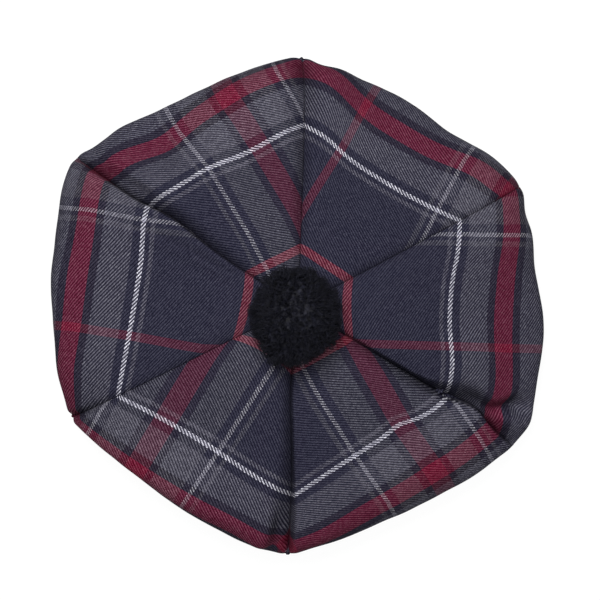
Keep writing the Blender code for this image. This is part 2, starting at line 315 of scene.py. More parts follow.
class TamCloth(bpy.types.PropertyGroup):
    """The tartan cloth: a twill of two threads over, two under."""

    thickness: length("Thickness", "Thickness of the cloth", 0.0011)
    warp_pitch: length("Warp pitch", "Distance between threads that run down a gore", 0.00060)
    weft_pitch: length("Weft pitch", "Distance between threads that run round", 0.00044)
    relief: portion("Relief", "How deep the twill's threads look", 0.5)
    warp_cover: portion("Warp cover", "Width of a warp thread, as a share of its pitch", 0.86)
    # Painted highlight and shade: how much lighter each twill line's crest is painted than the groove
    # beside it.
    ridge: portion("Ridge", "How much lighter a twill line is than the groove beside it", 0.8)
    warp_share: portion("Warp share", "How much of the colour comes from the warp", 0.45)
    patches: portion("Patches", "How unevenly the yarn is dyed along a rib", 0.7)
    spots: portion("Spots", "How unevenly it is dyed from stitch to stitch", 0.7)
    navy: dye("Navy", "Ground thread", (0.0148, 0.0145, 0.0268))
    dark: dye("Dark navy", "Thread beside the grey stripe", (0.0149, 0.0113, 0.0200))
    grey: dye("Grey", "Weft thread of the grey stripes", (0.0504, 0.0481, 0.0662))
    ash: dye("Ash", "Warp thread of the grey stripes", (0.0440, 0.0425, 0.0560))
    white: dye("White", "Weft thread of the white stripe", (0.2385, 0.2340, 0.2880))
    silver: dye("Silver", "Warp thread of the white stripe", (0.1180, 0.1140, 0.1420))
    red: dye("Red", "Weft thread of the wide red stripe", (0.1180, 0.0048, 0.0230))
    rust: dye("Warp red", "Warp thread of the red stripes", (0.0840, 0.0078, 0.0215))
    scarlet: dye("Scarlet", "Weft thread of the narrow red stripe", (0.1422, 0.0180, 0.0333))


class TamCrown(bpy.types.PropertyGroup):
    """How the gores are sewn."""

    roll: length("Seam roll", "Where the cloth starts to turn down into a seam", 0.0008)
    allowance: length("Seam allowance", "Cloth turned in at a seam", 0.0055)
    corner_width: length("Corner width", "How far from a seam the rim is rounded off", 0.006)
    ripple: length("Ripple", "Height of the cloth's small waves", 0.0006)


class TamBand(bpy.types.PropertyGroup):
    """The headband, a strip folded at its lower edge."""

    segments: number("Segments", "Steps round the band", 220, min=24)
    thickness: length("Thickness", "Thickness of the folded band", 0.0025)
    ground: length("Ground", "Where in the sett the band's fold is cut", 0.009)


class TamPompom(bpy.types.PropertyGroup):
    """The pompom, a ball of wool ends that cling together in tufts."""

    tufts: number("Tufts", "Number of tufts", 300, min=20)
    strands: number("Strands", "Number of wool ends in a tuft", 20, min=1)
    strand_length: length("Strand length", "How long a loose wool end is", 0.0075)
    strand_radius: length("Strand radius", "Half the thickness of a wool end", 0.00026)
    wool: dye("Wool", "Colour of the wool", (0.0030, 0.0031, 0.0056))


class TamStage(bpy.types.PropertyGroup):
    """The floor, the lights and the camera."""

    view_width: length("View width", "Width of what the camera sees", 0.3414)
    view_centre: flat_place("View centre", "Where the camera looks", (0.00085, 0.0037))
    floor: dye("Floor", "Colour of the floor", (0.06, 0.06, 0.06))
    glow: amount("Glow", "Light that the floor gives, as a light table does", 0.95)
    key_power: amount("Key power", "Power of the main light, in watts", 44.0)
    fill_power: amount("Fill power", "Power of the light across from it, in watts", 12.0)
    sky: amount("Sky", "Strength of the light from all round", 0.10)


# --- The crown's shape ---


def polar(radius, angle, height):
    """A point in metres, from millimetres and degrees."""
    turn = math.radians(angle)
    return np.array((radius * math.cos(turn), radius * math.sin(turn), height)) * MM


def lerp(start, end, share):
    """The value or point at this share of the way from start to end."""
    return start + (end - start) * share


def curve_through(points, counts):
    """A smooth centripetal curve through the points, with counts[i] steps in span i."""
    knots = [points[0] * 2 - points[1], *points, points[-1] * 2 - points[-2]]
    found = []
    for span, count in enumerate(counts):
        before, start, end, after = knots[span : span + 4]
        t1 = math.sqrt(math.dist(start, before))
        t2 = t1 + math.sqrt(math.dist(end, start))
        t3 = t2 + math.sqrt(math.dist(after, end))
        for step in range(count):
            t = t1 + (t2 - t1) * step / count
            a1 = lerp(before, start, t / t1)
            a2 = lerp(start, end, (t - t1) / (t2 - t1))
            a3 = lerp(end, after, (t - t2) / (t3 - t2))
            b1 = lerp(a1, a2, t / t2)
            b2 = lerp(a2, a3, (t - t1) / (t3 - t1))
            found.append(lerp(b1, b2, (t - t1) / (t2 - t1)))
    found.append(points[-1])
    return np.array(found)


def line_points(line):
    """The points of a seam or a middle line, row by row from the tip to the hem."""
    places = (TIP, line.inner, line.white, line.red, line.rim, line.belly, NECK, HEM)
    points = [
        polar(radius, line.angle + line.bend * bent, height)
        for (radius, height), bent in zip(places, LEVEL_BENDS)
    ]
    return curve_through(points, SPAN_ROWS)[:-1]


def seam_points(name):
    """The points of a seam, row by row, swung aside where a gore laps over it."""
    points = line_points(SEAMS[name])
    level = row_levels()
    aside = np.cross(UP, outward_at(points))
    for swing in SWINGS:
        if swing.seam == name:
            strength = np.exp(-(((level - swing.level) / swing.half_length) ** 2))
            points += aside * (strength * swing.aside * MM)[:, None]
    return points


def row_levels():
    """The level of each row: 2.5 is halfway from the white stripe to the wide red one."""
    return np.concatenate(
        [level + np.arange(count) / count for level, count in enumerate(SPAN_ROWS)]
    )


def smooth_step(value, low, high):
    """0 below low, 1 above high, and a smooth rise between them."""
    share = np.clip((value - low) / (high - low), 0, 1)
    return share * share * (3 - 2 * share)


def in_zone(level, zone):
    """1 inside the zone, 0 outside it, and smooth between."""
    return smooth_step(level, *zone.start) * (1 - smooth_step(level, *zone.end))


def unit(vectors):
    """The vectors, made one long."""
    return vectors / np.maximum(np.linalg.norm(vectors, axis=-1, keepdims=True), 1e-12)


def outward_at(points):
    """The level directions from the axis to the points."""
    return unit(points * (1, 1, 0))


def bend(start, corner, end, steps):
    """The steps of a smooth bend from start past a corner to end."""
    shares = np.arange(1, steps + 1) / steps
    return [lerp(lerp(start, corner, share), lerp(corner, end, share), share) for share in shares]


def across(lines, at, fullness, level):
    """The points at `at` between two seams. The top is a chord with the gore's puff on
    it, and below the rim it turns into an arc about the axis, as the band needs."""
    first, middle, second = (line[:, None] for line in lines)
    share = (at + 1) / 2
    puff = 1 - np.abs(at) ** fullness
    lift = 1 - np.abs(at) ** (fullness + VALLEY_STEEPNESS)
    swell = middle - (first + second) / 2
    flat = lerp(first, second, share[..., None]) + swell * np.stack((puff, puff, lift), axis=-1)
    r1, r_middle, r2 = (np.hypot(p[..., 0], p[..., 1]) for p in (first, middle, second))
    angle_1, angle_2 = (np.arctan2(p[..., 1], p[..., 0]) for p in (first, second))
    radius = lerp(r1, r2, share) + (r_middle - (r1 + r2) / 2) * puff
    angle = angle_1 + (angle_2 - angle_1) % math.tau * share
    rounded = np.stack((radius * np.cos(angle), radius * np.sin(angle), flat[..., 2]), axis=-1)
    roundness = smooth_step(level, LEVELS.index("rim"), LEVELS.index("neck"))
    return lerp(flat, rounded, roundness[:, None, None])


def dented(points, gore, at, level):
    """The points, moved by the waves and dents of their gore. The seams stay in place."""
    outward = outward_at(points)
    moved = points.copy()
    for dent in DENTS[gore]:
        reach = ((at - dent.across) / dent.half_width) ** 2
        reach = reach + ((level[:, None] - dent.level) / dent.half_length) ** 2
        strength = (np.exp(-reach) * (1 - at * at))[..., None] * MM
        moved += (outward * dent.out + UP * dent.up) * strength
    return moved


def normals_of(grid):
    """The outward normals of a grid of points, from its rows and columns."""
    down = np.gradient(grid, axis=0)
    along = np.gradient(grid, axis=1)
    return unit(np.cross(down, along))


def lengths_along(grid, axis):
    """How far each point is from the grid's first row or column, along the cloth."""
    steps = np.linalg.norm(np.diff(grid, axis=axis), axis=-1)
    total = np.cumsum(steps, axis=axis)
    pad = [(0, 0), (0, 0)]
    pad[axis] = (1, 0)
    return np.pad(total, pad)


def noise_at(points, wavelength, seed):
    """Smooth noise from -1 to 1 at the points, with this wavelength in metres."""
    flat = points.reshape(-1, points.shape[-1]) / wavelength
    found = [noise.noise(Vector((x + seed, y, z))) for x, y, z in flat]
    return np.array(found).reshape(points.shape[:-1])


def rippled(grid, gore, at, level, height):
    """The grid with the small waves that worn cloth keeps, strongest near the rim. The
    edges beside the seams stay in place."""
    seed = 10.0 * list(GORES).index(gore)
    waves = sum(
        noise_at(grid, wavelength, seed + shift) * strength
        for wavelength, strength, shift in WAVES
    )
    strength = (TIP_WAVES + smooth_step(level, *WAVES_GROW))[:, None] * (1 - at * at)
    return grid + normals_of(grid) * (waves * strength * height)[..., None]


def seam_frame(seam):
    """The directions along a seam's rows that point anticlockwise, and into the cap."""
    down = unit(np.gradient(seam, axis=0))
    aside = np.cross(UP, outward_at(seam))
    return aside, -unit(np.cross(down, aside))


def creased(grid, gore, at, level):
    """The grid, pushed in along its gore's creases."""
    inward = -normals_of(grid)
    half_width = np.linalg.norm(grid[:, -1] - grid[:, 0], axis=1)[:, None] / 2
    depth = np.zeros(at.shape)
    for crease in CREASES:
        if crease.gore == gore:
            ends = (crease.start_level, crease.end_level)
            centre = np.interp(level, ends, (crease.start, crease.end))[:, None]
            beyond = (level - np.clip(level, *ends))[:, None] / CREASE_FADE
            away = (at - centre) * half_width / (crease.width * MM)
            depth += np.exp(-away * away - beyond * beyond) * crease.depth * MM
    return grid + inward * (depth * (1 - at**8))[..., None]


def gore_sides(gore, aside):
    """For each of a gore's two seams: its place among the gore's lines, its valley, the
    valley's widths in this gore, and how far away from it each point of the grid lies."""
    first, second = (VALLEYS[seam] for seam in GORES[gore])
    return (
        (0, first, first.after, aside - aside[:, :1]),
        (2, second, second.before, aside[:, -1:] - aside),
    )


def moved_by(grid, lines, index, move, reach):
    """The grid, with one of its seams moved. reach is how far from the seam each point
    lies, as a share of the way on which the move fades."""
    lines[index] = lines[index] + move
    fade = np.clip(1 - reach, 0, 1) ** 2
    return grid + move[:, None] * fade[..., None]


def drawn_in(grid, lines, frames, gore, aside, level, crown):
    """The grid, and its two seams, as the stitches draw them into the cap, but straight
    down near the rim. frames holds what seam_frame gives for the gore's three lines."""
    outer = smooth_step(level, *VALLEY_WIDENS)[:, None]
    steep = in_zone(level, DRAWN_STRAIGHT_DOWN)[:, None]
    for index, valley, widths, away in gore_sides(gore, aside):
        depths = (0, valley.inner, valley.white, valley.red, valley.rim, 0)
        depth = np.interp(level, range(len(depths)), depths)[:, None] * MM
        inward = unit(lerp(frames[index][1], -UP, steep)) * depth
        reach = (away + crown.roll) / (lerp(*widths, outer) * MM)
        grid = moved_by(grid, lines, index, inward, reach)
    return grid


def rounded_off(grid, lines, gore, aside, level, crown):
    """The grid, and its two seams, with the corners of the rim rounded off."""
    near_rim = in_zone(level, CORNER_ROUNDED)[:, None]
    for index, valley, _, away in gore_sides(gore, aside):
        outward = outward_at(lines[index]) * (near_rim * valley.corner * MM)
        grid = moved_by(grid, lines, index, -outward, away / crown.corner_width)
    return grid


def seam_edges(ends, seam, frame, side, level, crown):
    """The columns where a gore turns down into a seam, and its allowance. ends are the
    gore's last points before the seam, and side is -1 at its first seam, 1 at its second."""
    aside, inward = frame
    reach = np.hypot(seam[:, 0], seam[:, 1]) / MM
    turned = np.minimum(np.linalg.norm(ends - seam, axis=1, keepdims=True), crown.roll)
    clear = -side * aside * SEAM_GAP / 2
    bottom = seam + inward * turned + clear
    depth = lerp(INNER_SHARE, 1, smooth_step(reach, *OUTER_REACH))
    depth *= smooth_step(reach, *TIP_REACH) * (1 - in_zone(level, WITHOUT_ALLOWANCE))
    drop = inward * (crown.allowance * depth + LEAST_ALLOWANCE)[:, None]
    last = bottom + drop + aside * (LEAN * depth)[:, None]
    turn = bend(ends, seam + clear / 2, bottom, ROLL_STEPS)
    return turn + bend(bottom, (bottom + last) / 2, last, ALLOWANCE_STEPS)


def hem_rows(neck, allowance):
    """The rows where the crown turns up inside, along the headband's upper edge."""
    corner = outward_at(neck) * (BAND_HIGH.x + HEM_CLEARANCE) + UP * HEM[1] * MM
    high = corner + UP * HEM_RISE
    return [*bend(neck, corner, high, HEM_STEPS), high + UP * allowance]


def gore_grid(gore, crown):
    """The outer face of a gore: its points, and where each lies in the cloth, as its place
    in the sett and its distance from the crown's middle."""
    first, second = GORES[gore]
    lines = [seam_points(first), line_points(MIDDLES[gore]), seam_points(second)]
    level = row_levels()
    even = np.linspace(-1, 1, MAIN_COLUMNS + 1)
    spaced = even * (1 + CROWDING - CROWDING * even**2)
    half_width = np.linalg.norm(lines[2] - lines[0], axis=1) / 2
    at = spaced * (1 - crown.roll / np.maximum(half_width, 2 * crown.roll))[:, None]
    fullness = np.where(at < 0, SEAMS[first].fullness, SEAMS[second].fullness)
    grid = dented(across(lines, at, fullness, level), gore, at, level)
    along = cloth_along(grid, level)
    aside = lengths_along(grid, 1)
    aside -= aside[:, [MAIN_COLUMNS // 2]]
    grid = rippled(grid, gore, at, level, crown.ripple)
    grid = creased(grid, gore, at, level)
    frames = [seam_frame(line) for line in lines]
    grid = drawn_in(grid, lines, frames, gore, aside, level, crown)
    grid = rounded_off(grid, lines, gore, aside, level, crown)
    left = seam_edges(grid[:, 0], lines[0], frames[0], -1, level, crown)[::-1]
    right = seam_edges(grid[:, -1], lines[2], frames[2], 1, level, crown)
    whole = np.stack([*left, *grid.transpose(1, 0, 2), *right], axis=1)
    added = ROLL_STEPS + ALLOWANCE_STEPS
    along = np.pad(along, ((0, 0), (added, added)), mode="edge")
    widths = lengths_along(whole, 1)
    before = widths[:, :added] - widths[:, [added]] + aside[:, [0]]
    after = widths[:, -added:] - widths[:, [-added - 1]] + aside[:, [-1]]
    aside = np.concatenate((before, aside, after), axis=1)
    hem = np.stack([whole[-1], *hem_rows(whole[-1], crown.allowance)])
    along = np.concatenate((along[:-1], along[-1] + lengths_along(hem, 0)))
    aside = np.concatenate((aside[:-1], np.repeat(aside[-1:], len(hem), axis=0)))
    aside = cloth_across(gore, aside, along)
    return np.concatenate((whole[:-1], hem)), np.stack((aside, along), axis=-1)


def eased(lengths, marks, places):
    """The lengths, eased so that each mark comes to its place, and carried on beyond."""
    found = None
    for (start, end), (place, next_place) in zip(pairwise(marks), pairwise(places)):
        placed = lerp(place, next_place, (lengths - start) / (end - start))
        found = placed if found is None else np.where(lengths > start, placed, found)
    return found


def cloth_along(grid, level):
    """How far down the cloth each point lies from the crown's middle. The stripes fix it
    at three levels, and it is plain length before and after them."""
    walked = lengths_along(grid, 0)
    marks = [walked[np.searchsorted(level, LEVELS.index(name))] for name in STRIPE_ALONG]
    places = [place * MM for place in STRIPE_ALONG.values()]
    return eased(walked, plainly_ended(marks), plainly_ended(places))


def plainly_ended(marks):
    """The marks, with one more a metre before them and a metre after."""
    return [marks[0] - 1, *marks, marks[-1] + 1]


def cloth_across(gore, aside, along):
    """Where each point lies in the sett, across the stripes that run down its gore."""
    down = np.array(GRAIN_LEVELS) * MM
    marks = [np.interp(along, down, np.array(row) * MM) for row in GRAIN[gore].values()]
    return eased(aside, marks, np.array(list(GRAIN[gore])) * MM)


# --- Making pieces ---


def points_of(mesh):
    """The points of a mesh, as an array."""
    flat = np.empty(len(mesh.vertices) * 3)
    mesh.vertices.foreach_get("co", flat)
    return flat.reshape(-1, 3)


def add_sheet(context, name, grid, cloth_place):
    """A sheet of cloth whose points and places in the cloth are given row by row."""
    bpy.ops.object.select_all(action="DESELECT")
    rows, columns = len(grid) - 1, len(grid[0]) - 1
    bpy.ops.mesh.primitive_grid_add(x_subdivisions=columns, y_subdivisions=rows, size=2)
    sheet = context.active_object
    sheet.name = sheet.data.name = name
    mesh = sheet.data
    across_it, up_it, _ = points_of(mesh).T
    column = np.rint((across_it + 1) / 2 * columns).astype(int)
    row = np.rint((1 - up_it) / 2 * rows).astype(int)
    mesh.vertices.foreach_set("co", grid[row, column].ravel())
    corners = np.empty(len(mesh.loops), int)
    mesh.loops.foreach_get("vertex_index", corners)
    places = cloth_place[row, column][corners]
    mesh.uv_layers.active.data.foreach_set("uv", places.ravel())
    mesh.uv_layers.active.name = "cloth"
    mesh.update()
    return sheet


def give_wall(context, sheet, thickness):
    """Gives the sheet its thickness, on the side away from its outer face."""
    wall = sheet.modifiers.new("wall", "SOLIDIFY")
    wall.thickness = thickness
    wall.offset = -1
    context.view_layer.objects.active = sheet
    bpy.ops.object.modifier_apply(modifier=wall.name)
    bpy.ops.object.select_all(action="DESELECT")
    sheet.select_set(True)
    bpy.ops.object.shade_smooth()


def dress(piece, material, slot, *nodes):
    """Gives the piece its material, and lets it stand for its nodes."""
    piece.data.materials.clear()
    piece.data.materials.append(material)
    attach(piece, "root")
    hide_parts(*nodes)


# --- Materials ---

# Threads in one repeat of the twill, two over and two under, and where in it the middle of
# the weft's float and of the warp's lie. The crest of a twill line is halfway between. It
# is painted lighter, as a painted highlight, and the groove beside it darker, as painted shade.
REPEAT, WEFT_MIDDLE, WARP_MIDDLE, PAINTED_CREST_PLACE = 4.0, 3.0, 1.0, 0.375

# How long and how wide the yarn's patches are, in steps across and along a rib, and the
# least tone that a patch has.
PATCH_ACROSS, PATCH_ALONG, LEAST_TONE = 1.7, 0.2, 0.25

# How the tone follows the fibres' noise, and the painted shade that follows the thread's
# height: darker where it dives under and lighter on its crown, as a painted highlight.
# Each is a factor and a base.
FIBRE_TONE, PAINTED_HEIGHT_SHADE = (0.7, 0.65), (1.4, 0.3)

# How strongly the tone, with its painted shade and highlight, is evened out in a bright
# colour channel.
EVENING = 0.45

# How squarely a thread's ends and edges curve down.
END_CURVE, EDGE_CURVE = 4.0, 2.0

CHANNELS = ("Red", "Green", "Blue")
FLAT_NOISE = {"noise_dimensions": "2D"}

# How rough and how glossy each material is.
CLOTH_FINISH, WOOL_FINISH, FLOOR_FINISH = (0.9, 0.05), (0.6, 0.12), (0.9, 0.1)


class Nodes:
    """Adds shader nodes to a material, and links what they are given."""

    def __init__(self, name):
        self.material = bpy.data.materials.new(name)
        self.material.use_nodes = True
        self.tree = self.material.node_tree
        self.shader = self.tree.nodes["Principled BSDF"]

    def put(self, socket, value):
        """Links the value, or sets it where it is a number or a colour."""
        if isinstance(value, bpy.types.NodeSocket):
            self.tree.links.new(value, socket)
        else:
            socket.default_value = value

    def add(self, kind, settings=(), **inputs):
        """A node of this kind. Inputs are given by name, with _ for a space."""
        node = self.tree.nodes.new(f"ShaderNode{kind}")
        for name, value in dict(settings).items():
            setattr(node, name, value)
        for name, value in inputs.items():
            self.put(node.inputs[name.replace("_", " ")], value)
        return node

    def sum(self, operation, *values):
        """The result of a Math node."""
        node = self.add("Math", {"operation": operation})
        for socket, value in zip(node.inputs, values):
            self.put(socket, value)
        return node.outputs[0]

    def blend(self, mode, share, first, second):
        """The colour that a Mix node makes."""
        settings = {"data_type": "RGBA", "blend_type": mode}
        return self.add("Mix", settings, Factor=share, A=first, B=second).outputs["Result"]

    def lightness(self, colour):
        """The lightness of a colour."""
        return self.add("RGBToBW", Color=colour).outputs["Val"]

    def finished(self, colour, finish, bump=None):
        """The material, with its colour, its finish and its bumps on its shader."""
        self.put(self.shader.inputs["Base Color"], colour)
        self.put(self.shader.inputs["Roughness"], finish[0])
        self.put(self.shader.inputs["Specular IOR Level"], finish[1])
        if bump:
            self.put(self.shader.inputs["Normal"], bump.outputs["Normal"])
        return self.material


def stripes(nodes, cloth, thread, pitch, part):
    """The colour of each thread, from its number and the distance between threads."""
    middle = nodes.sum("MULTIPLY", nodes.sum("ADD", thread, 0.5), pitch)
    place = nodes.sum("PINGPONG", middle, HALF_SETT)
    node = nodes.add("ValToRGB", Fac=nodes.sum("DIVIDE", place, HALF_SETT))
    ramp = node.color_ramp
    ramp.interpolation = "CONSTANT"
    start = 0.0
    for index, stripe in enumerate(SETT):
        element = ramp.elements[0] if index == 0 else ramp.elements.new(start)
        element.position = start
        element.color = (*getattr(cloth, getattr(stripe, part)), 1)
        start = stripe.end * MM / HALF_SETT
    ramp.elements.remove(ramp.elements[-1])
    return node.outputs["Color"]


def bulge(nodes, shown, along, sideways):
    """The height of a thread where it is shown: along is -1 to 1 from end to end of that,
    and sideways -1 to 1 from edge to edge."""
    height = shown
    for place, curve in ((along, END_CURVE), (sideways, EDGE_CURVE)):
        drop = nodes.sum("POWER", nodes.sum("ABSOLUTE", place), curve)
        height = nodes.sum("MULTIPLY", height, nodes.sum("SUBTRACT", 1.0, drop))
    return nodes.sum("MAXIMUM", height, 0.0)


def uneven(nodes, cloth, rib, step, thread):
    """How light the yarn is: each rib of the twill in patches, and each place where a
    thread shows by itself."""
    x, y = nodes.sum("MULTIPLY", rib, PATCH_ACROSS), nodes.sum("MULTIPLY", step, PATCH_ALONG)
    patch = nodes.add("CombineXYZ", X=x, Y=y)
    patches = nodes.add("TexNoise", FLAT_NOISE, Vector=patch.outputs[0], Scale=1.0, Detail=1.0)
    spot = nodes.add("CombineXYZ", X=rib, Y=thread)
    spots = nodes.add("TexWhiteNoise", FLAT_NOISE, Vector=spot.outputs[0])
    lighter = nodes.sum("SUBTRACT", patches.outputs["Fac"], 0.5)
    patchy = nodes.sum("MULTIPLY_ADD", lighter, cloth.patches, 1.0)
    spotty = nodes.sum("MULTIPLY_ADD", spots.outputs["Value"], cloth.spots, 1 - cloth.spots / 2)
    return nodes.sum("MULTIPLY", nodes.sum("MAXIMUM", patchy, LEAST_TONE), spotty)


def even_tones(nodes, both, tone):
    """The tone of each colour channel. The tone holds painted shade and highlight as well as
    the yarn's own unevenness. It is painted weaker in a channel in which the fibres are
    bright, as light that soaks through them would even it out, and stronger in the others."""
    value = nodes.lightness(both)
    dyed = nodes.add("SeparateColor", Color=both)
    tones = {}
    for channel in CHANNELS:
        darker = nodes.sum("DIVIDE", value, dyed.outputs[channel])
        contrast = nodes.sum("POWER", darker, EVENING)
        tones[channel] = nodes.sum("POWER", tone, contrast)
    return nodes.add("CombineColor", **tones).outputs["Color"]


def tartan_material(cloth):
    """The tartan twill. The sheet's own map says where each point lies in the cloth. The
    fibres of crossing threads mix, so that only their lightness differs at close range.
    Shade is painted into the colour: darker where a thread dives under and along each
    twill line's groove, and lighter on a thread's crown and on each line's crest."""
    nodes = Nodes("tartan_twill")
    uv = nodes.add("UVMap", {"uv_map": "cloth"}).outputs["UV"]
    split = nodes.add("SeparateXYZ", Vector=uv)
    warp_at = nodes.sum("DIVIDE", split.outputs["X"], cloth.warp_pitch)
    weft_at = nodes.sum("DIVIDE", split.outputs["Y"], cloth.weft_pitch)
    warp, weft = nodes.sum("FLOOR", warp_at), nodes.sum("FLOOR", weft_at)
    offset = nodes.sum("SUBTRACT", warp, weft)
    over = nodes.sum("FLOORED_MODULO", offset, REPEAT)
    rib = nodes.sum("FLOOR", nodes.sum("DIVIDE", offset, REPEAT))
    weft_phase = nodes.sum("FLOORED_MODULO", nodes.sum("SUBTRACT", warp_at, weft), REPEAT)
    next_warp = nodes.sum("ADD", nodes.sum("SUBTRACT", warp, weft_at), 1.0)
    warp_phase = nodes.sum("FLOORED_MODULO", next_warp, REPEAT)
    cover = 2 / cloth.warp_cover
    warp_side = nodes.sum("MULTIPLY_ADD", nodes.sum("FRACT", warp_at), cover, -cover / 2)
    weft_side = nodes.sum("MULTIPLY_ADD", nodes.sum("FRACT", weft_at), 2.0, -1.0)
    weft_up = nodes.sum("GREATER_THAN", over, REPEAT / 2 - 0.5)
    inside = nodes.sum("LESS_THAN", nodes.sum("ABSOLUTE", warp_side), 1.0)
    warp_up = nodes.sum("MULTIPLY", nodes.sum("SUBTRACT", 1.0, weft_up), inside)
    weft_along = nodes.sum("SUBTRACT", weft_phase, WEFT_MIDDLE)
    warp_along = nodes.sum("SUBTRACT", warp_phase, WARP_MIDDLE)
    weft_bulge = bulge(nodes, weft_up, weft_along, weft_side)
    warp_bulge = bulge(nodes, warp_up, warp_along, warp_side)
    height = nodes.sum("ADD", warp_bulge, weft_bulge)
    # Painted highlight and shade along the twill: each line's crest is painted lighter and the groove
    # beside it darker, as light from one side would show them.
    across_twill = nodes.sum("SUBTRACT", warp_at, weft_at)
    diagonal = nodes.sum("MULTIPLY", across_twill, math.tau / REPEAT)
    painted_crest_shade = nodes.sum("COSINE", nodes.sum("SUBTRACT", diagonal, math.tau * PAINTED_CREST_PLACE))

    weft_colour = stripes(nodes, cloth, weft, cloth.weft_pitch, "weft")
    warp_colour = stripes(nodes, cloth, warp, cloth.warp_pitch, "warp")
    both = nodes.blend("MIX", cloth.warp_share, weft_colour, warp_colour)
    single = nodes.blend("MIX", warp_up, weft_colour, warp_colour)
    lightness = nodes.sum("DIVIDE", nodes.lightness(single), nodes.lightness(both))
    step = nodes.sum("ADD", warp_at, weft_at)
    thread = nodes.sum("MULTIPLY_ADD", offset, warp_up, weft)
    tone = uneven(nodes, cloth, rib, step, thread)
    fibres = nodes.add("TexNoise", FLAT_NOISE, Vector=uv, Scale=1500.0, Detail=2.0)
    # The tone's factors: the fibres' noise, painted shade that follows each thread's height, painted
    # highlight and shade along the twill lines, and which thread shows.
    tone_and_painted_shade = (
        nodes.sum("MULTIPLY_ADD", fibres.outputs["Fac"], *FIBRE_TONE),
        nodes.sum("MULTIPLY_ADD", height, *PAINTED_HEIGHT_SHADE),
        nodes.sum("MULTIPLY_ADD", painted_crest_shade, cloth.ridge, 1.0),
        lightness,
    )
    # After this the tone holds painted shade and highlight as well as the yarn's own unevenness.
    for factor in tone_and_painted_shade:
        tone = nodes.sum("MULTIPLY", tone, factor)
    colour = nodes.blend("MULTIPLY", 1.0, both, even_tones(nodes, both, tone))

    bump = nodes.add("Bump", Strength=cloth.relief, Distance=0.0002, Height=height)
    return nodes.finished(colour, CLOTH_FINISH, bump)


def wool_material(pompom):
    """Matt black wool whose locks differ a little."""
    nodes = Nodes("black_wool")
    place = nodes.add("TexCoord")
    clumps = nodes.add("TexNoise", Vector=place.outputs["Object"], Scale=420.0, Detail=3.0)
    tone = nodes.add(
        "MapRange", Value=clumps.outputs["Fac"], From_Min=0.3, From_Max=0.7, To_Min=0.2, To_Max=2.6
    )
    grey = nodes.add("CombineColor", **{channel: tone.outputs[0] for channel in CHANNELS})
    colour = nodes.blend("MULTIPLY", 1.0, (*pompom.wool, 1), grey.outputs["Color"])
    fibres = nodes.add("TexNoise", Vector=place.outputs["Object"], Scale=3000.0, Detail=2.0)
    bump = nodes.add("Bump", Strength=0.6, Distance=0.0003, Height=fibres.outputs["Fac"])
    return nodes.finished(colour, WOOL_FINISH, bump)


def floor_material(stage):
    """A pale floor, lit from within so that shadows on it stay faint."""
    nodes = Nodes("pale_floor")
    nodes.put(nodes.shader.inputs["Emission Color"], (1, 1, 1, 1))
    nodes.put(nodes.shader.inputs["Emission Strength"], stage.glow)
    return nodes.finished((*stage.floor, 1), FLOOR_FINISH)


# --- Operators ---

# The headband's rows of faces, on each of its sides and round its fold.
BAND_ROWS, FOLD_ROWS = 14, 8

# The pompom, in millimetres: its middle, its half sizes, and the lumps of its solid core,
# which reaches this share of the way out.
POMPOM_CENTRE, POMPOM_RADII = (-1.8, -5.8, 75.0), (26.5, 29.5, 21.0)
CORE_SHARE, LUMP_HEIGHT, LUMP_WIDTH, LUMP_PLACE = 0.80, 1.2, 3.2, 5.0

# Its pile: how far out the tufts reach and how broadly that swells, how far they hang
# aside, and how far their wool ends spread at root and tip, all as shares of its radius.
# Then how much of the root's spread the tip keeps.
TUFT_REACH, SWELL, SWELL_WIDTH, SWELL_PLACE = (0.90, 1.05), 0.11, 17.0, 9.0
TUFT_DROOP, ROOT_SPREAD, TIP_SPREAD, SPREAD_KEPT = 0.07, 0.07, 0.04, 0.8

# Its wool ends: how their lengths vary, how widely they curl as a share of that, and how
# far they turn, in radians. They lean over late and get thinner towards the tip.
END_LENGTHS, END_CURLS, CURL_TURN = (0.85, 1.15), (0.08, 0.24), 7.5
LATE_LEAN, THINNER = 1.5, 0.5
RINGS, SIDES = 6, 3

# The lights' places and sizes, where they aim, the camera's height and the floor's width.
KEY_PLACE, KEY_SIZE = (-0.20, 0.48, 1.52), 0.8
FILL_PLACE, FILL_SIZE = (0.22, -0.34, 1.53), 0.9
LIGHTS_AIM, CAMERA_HEIGHT, FLOOR_SIZE = (0, 0, 0.03), 1.5, 6


class TAM_OT_gores(bpy.types.Operator):
    """Make the six tartan gores of the crown"""

    bl_idname = "tam.gores"
    bl_label = "Gores"

    def execute(self, context):
        cloth, crown = context.scene.tam_cloth, context.scene.tam_crown
        twill = tartan_material(cloth)
        for gore in GORES:
            grid, place = gore_grid(gore, crown)
            place = place - (0, STRIPE_ALONG["inner"] * MM)
            sheet = add_sheet(context, f"crown_gore_{gore}", grid, place)
            give_wall(context, sheet, cloth.thickness)
            dress(sheet, twill, "tartan", f"gore_{gore}")
        return {"FINISHED"}


